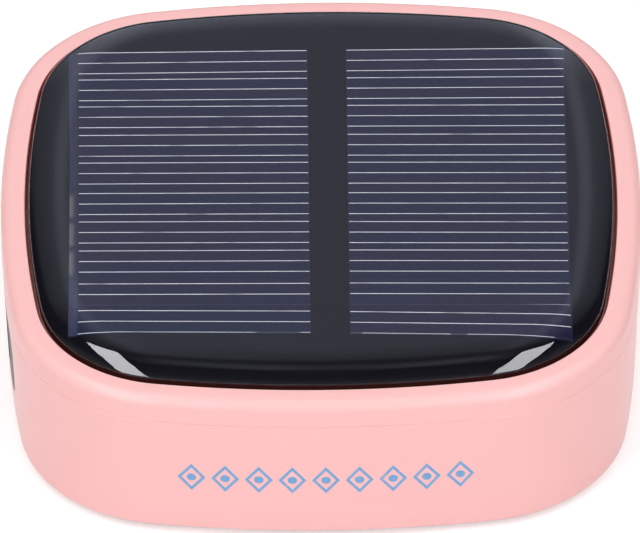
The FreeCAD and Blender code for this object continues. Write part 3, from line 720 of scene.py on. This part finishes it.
# %% [markdown]
# ## Resin over solar cells
# The dome is clear resin: a Principled shader with full transmission. Lamps would have to find their way
# through it by luck, so shadow rays are simply let through, a common and honest shortcut for clear pieces.
# Its skin is nearly a mirror, with a slight ripple from pouring and a few hairlines.

# %% Clear dome


def clear_finish(name, colour, gloss, ior, ripple_scale, ripple):
    """See-through material whose shadow rays pass, with scuffs in its gloss."""
    made, tree, shader, skin, bumps = start_finish(name, colour, colour, gloss, 0.01, 40.0, ripple_scale,
                                                   ripple, 0.01)
    shader.inputs["Transmission Weight"].default_value = 1.0
    shader.inputs["IOR"].default_value = ior
    scuffs = add_group(tree, hair_scuffs, Scale=70.0, Width=0.004)
    rougher = reckon(tree, "MULTIPLY_ADD", scuffs.outputs[0], 0.10, skin.outputs["Roughness"])
    feed(tree, shader.inputs["Roughness"], rougher)
    rays = tree.nodes.new("ShaderNodeLightPath")
    through = tree.nodes.new("ShaderNodeBsdfTransparent")
    through.inputs["Color"].default_value = (0.92, 0.92, 0.92, 1)
    either = tree.nodes.new("ShaderNodeMixShader")
    tree.links.new(rays.outputs["Is Shadow Ray"], either.inputs[0])
    tree.links.new(shader.outputs[0], either.inputs[1])
    tree.links.new(through.outputs[0], either.inputs[2])
    tree.links.new(either.outputs[0], tree.nodes["Material Output"].inputs["Surface"])
    return made


poured_resin = clear_finish("poured_resin", (0.985, 0.99, 1.0), 0.02, 1.55, 90.0, 0.02)
wear(dome_glass, poured_resin)
lamp_glass = clear_finish("lamp_glass", (0.96, 0.98, 1.0), 0.03, 1.47, 60.0, 0.01)
wear(nodes_of_frame["lamp_window"], lamp_glass)
print("clear finishes", poured_resin.name, lamp_glass.name)

# %% [markdown]
# ## Cells, printed lines and the black board
# Silicon cells are a dark blue grey with a slight change from strip to strip. Their metal lines are screen
# printed, so some stretches come out thin and let the blue show. The board under them is a navy black.

# %% Cell finish
cell_colour = (0.0120, 0.0132, 0.0330)
blue_silicon, tree, shader, skin, bumps = start_finish(
    "blue_silicon", cell_colour, (0.0105, 0.0115, 0.0290), 0.35, 0.1, 90.0, 1500.0, 0.02, 0.002, specular=0.0)
strip_tone = ease(tree, noise(tree, object_points(tree, (14.0, 230.0, 0.0)), 1.0, 1.0), 0.36, 0.64)
plum_or_blue = blend_colours(tree, strip_tone, (0.0152, 0.0130, 0.0330, 1), (0.0095, 0.0138, 0.0355, 1))
silicon = blend_colours(tree, 0.7, skin.outputs["Colour"], plum_or_blue)
cell_x, cell_y = axes(tree, object_points(tree, in_mm))[:2]
# The cells' left margin turns a lighter blue, lighter still towards the front.
left_margin = ease(tree, cell_x, -28.1, -28.7, 0.0, 0.9)
towards_front = ease(tree, cell_y, -8.0, -24.0)
margin_blue = blend_colours(tree, towards_front, (0.021, 0.024, 0.049, 1), (0.036, 0.038, 0.074, 1))
silicon = blend_colours(tree, left_margin, silicon, margin_blue)
strip_middle, strip_half = -2.3, 2.6
bright_middle, bright_reach = -7.5, 7.3
off_middle = reckon(tree, "SUBTRACT", cell_y, strip_middle)
along_strip = reckon(tree, "ABSOLUTE", reckon(tree, "WRAP", off_middle, strip_half, -strip_half))
from_bright = reckon(tree, "ABSOLUTE", reckon(tree, "SUBTRACT", cell_y, bright_middle))
bright_strips = reckon(tree, "MULTIPLY", ease(tree, from_bright, bright_reach, bright_reach + 0.5, 1.0, 0.0),
                       ease(tree, along_strip, 1.5, 2.5, 1.0, 0.1))
# Painted highlight: a whitish glint along the cells' left edge, strongest mid-strip on the strips in front of
# the middle.
painted_edge_glint = reckon(tree, "MULTIPLY", ease(tree, cell_x, -28.6, -29.35), bright_strips)
feed(tree, shader.inputs["Base Color"], blend_colours(tree, painted_edge_glint, silicon, (0.095, 0.095, 0.100, 1)))
wear(nodes_of_frame["solar_cells"], blue_silicon)

# %% Printed line finish, with the stretches that the print missed
silver_paste, tree, shader, skin, bumps = start_finish(
    "silver_paste", (0.60, 0.60, 0.66), (0.52, 0.52, 0.58), 0.45, 0.1, 300.0, 6000.0, 0.1, 0.005, specular=0.3)
thin_print = noise(tree, object_points(tree, (170.0, 2100.0, 0.0)), 1.0, 2.0)
line_x, line_y = axes(tree, object_points(tree, in_mm))[:2]
faint = ease(tree, thin_print, 0.30, 0.42, 0.5, 0.0)


def near(value, middle, reach):
    """One where a value lies within reach of the middle, else zero."""
    return reckon(tree, "LESS_THAN", reckon(tree, "ABSOLUTE", reckon(tree, "SUBTRACT", value, middle)), reach)


unprinted_row = reckon(tree, "MULTIPLY", near(line_y, -20.6, 0.65),
                       ease(tree, line_x, 22.0, 28.0, 1.0, 0.72))
last_row = reckon(tree, "LESS_THAN", line_y, -25.05)
missed = ease(tree, line_x, 26.4, 27.0)
for middle, reach in ((-5.2, 3.2), (3.6, 1.2), (15.8, 1.2)):
    from_middle = reckon(tree, "ABSOLUTE", reckon(tree, "SUBTRACT", line_x, middle))
    missed = reckon(tree, "MAXIMUM", missed, ease(tree, from_middle, reach * 0.7, reach, 0.9, 0.0))
missed = reckon(tree, "MULTIPLY", last_row, reckon(tree, "MAXIMUM", missed, 0.25))
faint = reckon(tree, "MAXIMUM", faint, reckon(tree, "MAXIMUM", unprinted_row, missed))
feed(tree, shader.inputs["Base Color"], blend_colours(tree, faint, skin.outputs["Colour"], (*cell_colour, 1)))
wear(nodes_of_frame["cell_grid_lines"], silver_paste)

# %% Board finish, with a painted red-brown reflection on its side edge
navy_mask, tree, shader, skin, bumps = start_finish(
    "navy_mask", (0.0056, 0.0053, 0.0080), (0.0049, 0.0047, 0.0070), 0.4, 0.1, 50.0, 3000.0, 0.02, 0.002,
    specular=0.0)
board_z = axes(tree, object_points(tree, in_mm))[2]
# Painted reflection: the board's side below its top is red-brown, standing in for dim pink light reflected in
# the shaded gap.
painted_gap_reflection = reckon(tree, "LESS_THAN", board_z, board_top - 0.02)
feed(tree, shader.inputs["Base Color"],
     blend_colours(tree, painted_gap_reflection, skin.outputs["Colour"], (0.045, 0.012, 0.009, 1)))
wear(nodes_of_frame["solar_backing_board"], navy_mask)
print("panel finishes", blue_silicon.name, silver_paste.name, navy_mask.name)

# %% [markdown]
# ## Dark controls, rubber and metal
# The plate and button are satin plastics with a spark-eroded grain. Rubber is nearly matt and picks up dust.
# The socket is folded sheet steel with a rolled grain, made by stretching the same noise along one axis.

# %% Control and foot finishes
charcoal_satin, tree, shader, skin, bumps = start_finish(
    "charcoal_satin", (0.055, 0.056, 0.060), (0.046, 0.047, 0.051), 0.42, 0.12, 80.0, 5200.0, 0.25, 0.02)
wear(control_plate, charcoal_satin)
button_satin, tree, shader, skin, bumps = start_finish(
    "button_satin", (0.16, 0.16, 0.17), (0.14, 0.14, 0.15), 0.36, 0.1, 120.0, 4200.0, 0.15, 0.01)
wear(button_cap, button_satin)
foot_rubber, tree, shader, skin, bumps = start_finish(
    "foot_rubber", (0.030, 0.030, 0.032), (0.040, 0.040, 0.042), 0.72, 0.12, 200.0, 3000.0, 0.35, 0.03)
specks = add_group(tree, dust_specks, Spacing_scale=900.0, Share=0.25, Size=0.16)
feed(tree, shader.inputs["Base Color"], blend_colours(
    tree, reckon(tree, "MULTIPLY", specks.outputs[0], 0.5), skin.outputs["Colour"], (0.25, 0.24, 0.23, 1)))
wear(foot_pads, foot_rubber)
wear(nodes_of_frame["window_gasket"], foot_rubber)

rolled_steel, tree, shader, skin, bumps = start_finish(
    "rolled_steel", (0.62, 0.61, 0.59), (0.54, 0.53, 0.52), 0.28, 0.12, 300.0, 3000.0, 0.1, 0.005, metallic=1.0)
rolled = noise(tree, object_points(tree, (300.0, 300.0, 9000.0)), 1.0, 2.0)
feed(tree, bumps.inputs["Height"], rolled)
for piece in (socket_shell, nodes_of_frame["switch_cover"], nodes_of_frame["case_screws"],
              nodes_of_frame["board_screws"]):
    wear(piece, rolled_steel)
gold_contact, tree, shader, skin, bumps = start_finish(
    "gold_contact", (0.80, 0.58, 0.26), (0.72, 0.50, 0.22), 0.25, 0.1, 500.0, 4000.0, 0.1, 0.004, metallic=1.0)
wear(socket_contacts, gold_contact)
print("control finishes done")

# %% [markdown]
# ## Lamp and inside parts
# Turned over, the case shows a round window with six lamps in a white reflector. The rest is sealed inside,
# yet each part still gets its own finish, so that the model stays honest when it is opened up.

# %% Lamp finishes
reflector_white, tree, shader, skin, bumps = start_finish(
    "reflector_white", (0.82, 0.83, 0.84), (0.77, 0.78, 0.79), 0.3, 0.1, 150.0, 3500.0, 0.1, 0.01)
wear(nodes_of_frame["lamp_reflector"], reflector_white)
lamp_ceramic, tree, shader, skin, bumps = start_finish(
    "lamp_ceramic", (0.80, 0.77, 0.68), (0.74, 0.70, 0.60), 0.5, 0.1, 700.0, 6000.0, 0.2, 0.01)
wear(lamp_blocks_c, lamp_ceramic)
wear(lamp_blocks_a, lamp_ceramic)
lens_glass = clear_finish("lens_glass", (0.95, 0.93, 0.98), 0.05, 1.5, 300.0, 0.02)
wear(lamp_lenses, lens_glass)
pipe_clear = clear_finish("pipe_clear", (0.93, 0.95, 0.96), 0.18, 1.49, 900.0, 0.05)
wear(nodes_of_frame["indicator_light_pipe"], pipe_clear)

# %% Finishes of the sealed parts
sealed_finishes = {
    "board_mask": ((0.02, 0.14, 0.06), (0.015, 0.11, 0.05), 0.35, ("main_board",)),
    "moulding_black": ((0.02, 0.02, 0.021), (0.03, 0.03, 0.031), 0.5,
                       ("controller_chip", "charger_chip", "switch_body", "switch_plunger")),
    "ferrite": ((0.09, 0.09, 0.095), (0.07, 0.07, 0.075), 0.6, ("boost_inductor",)),
    "fired_ceramic": ((0.45, 0.33, 0.22), (0.38, 0.28, 0.18), 0.5, ("board_capacitors", "board_resistors")),
    "pouch_foil": ((0.62, 0.62, 0.64), (0.52, 0.52, 0.55), 0.35, ("battery_cell",)),
    "foam_white": ((0.78, 0.77, 0.74), (0.70, 0.69, 0.66), 0.8, ("battery_tape", "panel_tape")),
    "sleeve_red": ((0.55, 0.03, 0.03), (0.48, 0.03, 0.03), 0.45, ("solar_lead_red", "battery_lead_red")),
    "sleeve_black": ((0.02, 0.02, 0.02), (0.03, 0.03, 0.03), 0.45, ("solar_lead_black", "battery_lead_black")),
    "indicator_white": ((0.80, 0.80, 0.74), (0.74, 0.74, 0.68), 0.4, ("indicator_led",)),
}
for name, (colour, cloud, gloss, wearers) in sealed_finishes.items():
    made = start_finish(name, colour, cloud, gloss, 0.12, 250.0, 4500.0, 0.2, 0.01,
                        metallic=0.8 if name == "pouch_foil" else 0.0)[0]
    for node in wearers:
        wear(nodes_of_frame[node], made)
wear(socket_tongue, bpy.data.materials["moulding_black"])
print("sealed finishes:", ", ".join(sealed_finishes))

# %% [markdown]
# ## Camera
# The portrait was taken from far away with a long lens, about forty degrees above the floor, almost square on.
# The view was found by fitting the outline, the parting line and the cell rows; the tiny yaw and roll are kept.


# %% Stand the camera
def stand(thing, right, up, back, place):
    """Turn an object to three axes and put it in its place."""
    thing.matrix_world = Matrix.Translation(place) @ Matrix((right, up, back)).transposed().to_4x4()


elevation, yaw, roll = math.radians(39.78), math.radians(-0.168), math.radians(-0.508)
distance = 2.432
aim_up, aim_left = 7.316 * mm, 0.238 * mm
backwards = Vector((math.sin(yaw) * math.cos(elevation), -math.cos(yaw) * math.cos(elevation),
                    math.sin(elevation)))
level_right = Vector((math.cos(yaw), math.sin(yaw), 0))
level_up = backwards.cross(level_right)
tilted_right = level_right * math.cos(roll) + level_up * math.sin(roll)
tilted_up = level_up * math.cos(roll) - level_right * math.sin(roll)
base_middle = Vector((0, 0, base * mm))
eye = base_middle + backwards * distance
aim = base_middle + tilted_up * aim_up - tilted_right * aim_left
facing = (eye - aim).normalized()
sideways = tilted_up.cross(facing).normalized()
upwards = facing.cross(sideways)
camera_data = bpy.data.cameras.new("portrait_camera")
camera_data.lens = 1162.9
camera_data.sensor_width = 36.0
camera_data.clip_end = 100.0
camera = bpy.data.objects.new("portrait_camera", camera_data)
bpy.context.scene.collection.objects.link(camera)
stand(camera, sideways, upwards, facing, eye)
bpy.context.scene.camera = camera
print("camera", [round(value, 3) for value in eye], "m from the middle, lens", camera_data.lens)

# %% [markdown]
# ## Floor
# The case stands on plain white paper. The paper is a pale diffuse surface, so it keeps the shadow, and it
# shines a little for the camera so that the open floor reads as white. For mirror rays it shines near the case,
# and beyond a patch round the case it is painted dark grey, a painted reflection of a dark room. Seen from
# below it lets the view through.

# %% Lay the paper
paper = bmesh.new()
bmesh.ops.create_circle(paper, cap_ends=True, segments=96, radius=3.0)
bmesh.ops.recalc_face_normals(paper, faces=paper.faces)
for face in paper.faces:
    if face.normal.z < 0:
        face.normal_flip()
paper_floor = into_scene(paper, "paper_floor")
white_paper, tree, shader, skin, bumps = start_finish(
    "white_paper", (0.86, 0.86, 0.86), (0.84, 0.84, 0.84), 0.9, 0.05, 8.0, 900.0, 0.05, 0.02, specular=0.0)
rays = tree.nodes.new("ShaderNodeLightPath")
floor_x, floor_y = axes(tree, object_points(tree))[:2]
aside = ease(tree, reckon(tree, "ABSOLUTE", floor_x), 0.05, 0.14)
in_front, behind = ease(tree, floor_y, -0.12, -0.35), ease(tree, floor_y, 0.06, 0.16)
far_floor = reckon(tree, "MAXIMUM", reckon(tree, "MAXIMUM", aside, in_front), behind)
# Painted reflection: for mirror rays the floor beyond a patch round the case turns dark grey.
painted_dark_reflection = reckon(tree, "MULTIPLY", rays.outputs["Is Glossy Ray"], far_floor)
feed(tree, shader.inputs["Base Color"], blend_colours(tree, painted_dark_reflection, skin.outputs["Colour"], (0.05, 0.05, 0.05, 1)))
mirrored_paper = reckon(tree, "SUBTRACT", rays.outputs["Is Glossy Ray"], painted_dark_reflection)
seen = reckon(tree, "MAXIMUM", rays.outputs["Is Camera Ray"],
              reckon(tree, "MAXIMUM", mirrored_paper, rays.outputs["Is Transmission Ray"]))
glow = tree.nodes.new("ShaderNodeEmission")
feed(tree, glow.inputs["Strength"], reckon(tree, "MULTIPLY", seen, 0.35))
lifted = tree.nodes.new("ShaderNodeAddShader")
tree.links.new(shader.outputs[0], lifted.inputs[0])
tree.links.new(glow.outputs[0], lifted.inputs[1])
under = tree.nodes.new("ShaderNodeNewGeometry")
clear = tree.nodes.new("ShaderNodeBsdfTransparent")
sided = tree.nodes.new("ShaderNodeMixShader")
tree.links.new(under.outputs["Backfacing"], sided.inputs[0])
tree.links.new(lifted.outputs[0], sided.inputs[1])
tree.links.new(clear.outputs[0], sided.inputs[2])
tree.links.new(sided.outputs[0], tree.nodes["Material Output"].inputs["Surface"])
wear(paper_floor, white_paper)
print("paper floor of", len(paper_floor.data.vertices), "corners")

# %% [markdown]
# ## Light
# The dome tells how the studio was lit: it mirrors two long softboxes, left and right above the case, a paper
# backdrop behind that dims upwards, and darkness all round. Two area lamps give the light. What the dome
# mirrors are two bright cards in the same places, seen by mirror rays only, so their shape can be drawn freely.

# %% Hang the softboxes
softbox_width, softbox_length = 0.26, 1.5
for name, side, softbox_power in (("softbox_left", -1, 5.6), ("softbox_right", 1, 5.0)):
    lamp_data = bpy.data.lights.new(name, "AREA")
    lamp_data.shape = "RECTANGLE"
    lamp_data.size = softbox_width
    lamp_data.size_y = softbox_length
    lamp_data.energy = softbox_power
    lamp = bpy.data.objects.new(name, lamp_data)
    outwards = Vector((side * 0.465, -0.154, 0.872)).normalized()
    lengthwise = Vector((side * 0.206, -0.937, -0.276)).normalized()
    crosswise = lengthwise.cross(outwards).normalized()
    lengthwise = outwards.cross(crosswise)
    place = Vector((side * 0.51, -0.35, 0.83))
    stand(lamp, crosswise, lengthwise, outwards, place)
    lamp.visible_camera = False
    lamp.visible_glossy = False
    bpy.context.scene.collection.objects.link(lamp)
    print(name, "of", softbox_power, "W")

# %% Cards for the dome to mirror
card_white = bpy.data.materials.new("card_white")
card_white.use_nodes = True
tree = card_white.node_tree
tree.nodes.remove(tree.nodes["Principled BSDF"])
card_glow = tree.nodes.new("ShaderNodeEmission")
card_glow.inputs["Color"].default_value = (0.98, 0.98, 1.02, 1)
card_x = axes(tree, object_points(tree))[0]
feed(tree, card_glow.inputs["Strength"], ease(tree, card_x, -0.3, 0.3, 10.2, 9.2))
tree.links.new(card_glow.outputs[0], tree.nodes["Material Output"].inputs["Surface"])
card_edges = {
    "card_left": (
        [(-0.39, 0.38, 0.84), (-0.50, -0.02, 0.87), (-0.60, -0.39, 0.70), (-0.66, -0.75, 0.06)],
        [(-0.22, 0.38, 0.90), (-0.30, -0.17, 0.94), (-0.35, -0.57, 0.75), (-0.34, -0.94, 0.06)]),
    "card_right": (
        [(0.41, 0.31, 0.86), (0.53, -0.28, 0.80), (0.59, -0.55, 0.60), (0.60, -0.80, 0.05)],
        [(0.22, 0.31, 0.92), (0.27, -0.40, 0.87), (0.28, -0.67, 0.69), (0.28, -0.96, 0.03)]),
}
for name, sides in card_edges.items():
    card_bm = bmesh.new()
    chains = []
    for side in sides:
        corners = [card_bm.verts.new(corner) for corner in side]
        chains += [card_bm.edges.new(pair) for pair in zip(corners, corners[1:])]
    bmesh.ops.bridge_loops(card_bm, edges=chains)
    card = into_scene(card_bm, name)
    wear(card, card_white)
    card.visible_camera = False
    card.visible_diffuse = False
    card.visible_transmission = False
    card.visible_shadow = False
    print(name, "has", len(card.data.polygons), "faces")

# %% Paint the sky
sky = bpy.data.worlds.new("studio_sky")
sky.use_nodes = True
bpy.context.scene.world = sky
tree = sky.node_tree
shine = tree.nodes["Background"]
look_x, look_y, height = axes(tree, tree.nodes.new("ShaderNodeTexCoord").outputs["Generated"])


def ramp(value, stops, tint=(1.0, 1.0, 1.0)):
    """Brightness by a value, from (value, brightness) stops, times a tint."""
    node = tree.nodes.new("ShaderNodeValToRGB")
    elements = node.color_ramp.elements
    while len(elements) < len(stops):
        elements.new(0.5)
    for element, (place, level) in zip(elements, stops):
        element.position = place
        element.color = (level * tint[0], level * tint[1], level * tint[2], 1)
    tree.links.new(value, node.inputs["Fac"])
    return node.outputs["Color"]


def join_colours(operation, first, second):
    """Colours joined by a vector sum or product."""
    node = tree.nodes.new("ShaderNodeVectorMath")
    node.operation = operation
    feed(tree, node.inputs[0], first)
    feed(tree, node.inputs[1], second)
    return node.outputs[0]


backdrop_turn = 0.035
turn_right = reckon(tree, "ARCTAN2", look_x, look_y)
turn_from_back = reckon(tree, "ABSOLUTE", reckon(tree, "SUBTRACT", turn_right, backdrop_turn))
paper_up = ramp(height, [(0.0, 0.48), (0.22, 0.56), (0.40, 0.59), (0.63, 0.46), (0.77, 0.36), (0.84, 0.27),
                         (0.875, 0.08), (0.905, 0.08), (0.935, 0.24), (0.965, 0.28), (0.985, 0.05),
                         (1.0, 0.03)],
                (0.93, 0.97, 1.20))
paper_across = ramp(turn_from_back, [(0.0, 1.0), (0.05, 1.05), (0.10, 1.45), (0.16, 1.62), (0.22, 1.42),
                                     (0.29, 0.95), (0.36, 0.72), (0.47, 0.54), (0.58, 0.38), (0.65, 0.28),
                                     (0.72, 0.05), (0.78, 0.0)])
dim_room = ramp(height, [(0.0, 0.25), (0.45, 0.20), (0.75, 0.06), (1.0, 0.02)])
mirrored = join_colours("ADD", join_colours("MULTIPLY", paper_up, paper_across),
                        join_colours("MULTIPLY", dim_room, ease(tree, turn_from_back, 1.25, 1.7)))
side_fill = ramp(height, [(0.0, 0.36), (0.35, 0.36), (0.6, 0.38), (0.8, 0.27), (1.0, 0.20)])
front_fill = ramp(height, [(0.0, 1.05), (0.5, 1.0), (0.75, 0.36), (1.0, 0.14)])
fill = blend_colours(tree, ease(tree, turn_from_back, 1.87, 2.82), side_fill, front_fill)
rays = tree.nodes.new("ShaderNodeLightPath")
studio = blend_colours(tree, rays.outputs["Is Glossy Ray"], fill, mirrored)
seen = reckon(tree, "MAXIMUM", rays.outputs["Is Camera Ray"], rays.outputs["Is Transmission Ray"])
feed(tree, shine.inputs["Color"], blend_colours(tree, seen, studio, (1, 1, 1, 1)))
bpy.context.scene.view_settings.view_transform = "Standard"
print("sky with", len(tree.nodes), "nodes")
